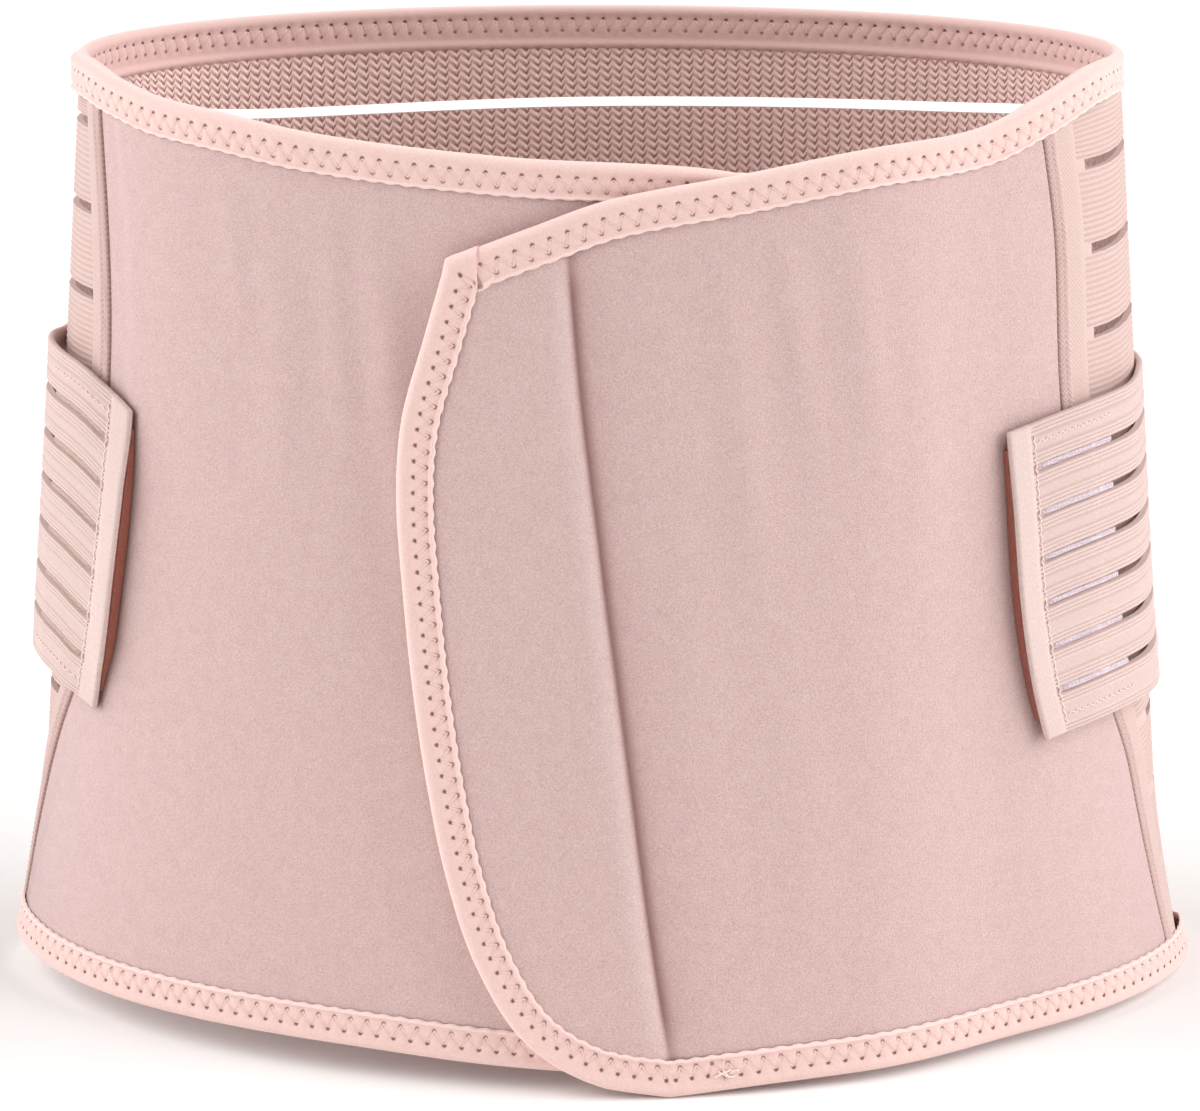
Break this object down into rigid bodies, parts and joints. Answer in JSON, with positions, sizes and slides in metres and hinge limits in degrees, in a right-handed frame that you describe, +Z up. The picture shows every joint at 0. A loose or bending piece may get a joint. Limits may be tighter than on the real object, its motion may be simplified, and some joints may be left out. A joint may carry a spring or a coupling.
{
  "type": "abdominal binder",
  "caption": "Waist-shaped abdominal binder, closed and standing on its hem, with lapped felt front panels, a slotted elastic back, side pull straps with hook pads and folded edge tape.",
  "frame": {"origin": "middle of the bounding box, on the surface that the hem stands on", "axes": "+Z up from hem to rim, the lapped front towards -Y, the outer panel on the +X side"},
  "size_m": [0.3402, 0.2376, 0.2635],
  "materials": {
    "felt": "brushed loop felt, dusty pink",
    "ribbed_elastic": "ribbed woven elastic, pale pink",
    "twill": "fine twill tape, pale pink",
    "strap_elastic": "ribbed woven elastic, pale pink",
    "hook_tape": "hook fastener tape, grey lilac",
    "edge_tape": "smooth folded stretch tape, pink"
  },
  "bodies": {
    "root": {"outer_front_panel": "felt", "inner_front_panel": "felt", "back_elastic": "ribbed_elastic", "side_band_right": "twill", "side_band_left": "twill", "pull_strap_right": "strap_elastic", "pull_strap_left": "strap_elastic", "hook_pad_right": "hook_tape", "hook_pad_left": "hook_tape", "top_binding": "edge_tape", "bottom_binding": "edge_tape", "outer_end_binding": "edge_tape", "inner_end_binding": "edge_tape"}
  },
  "joints": []
}
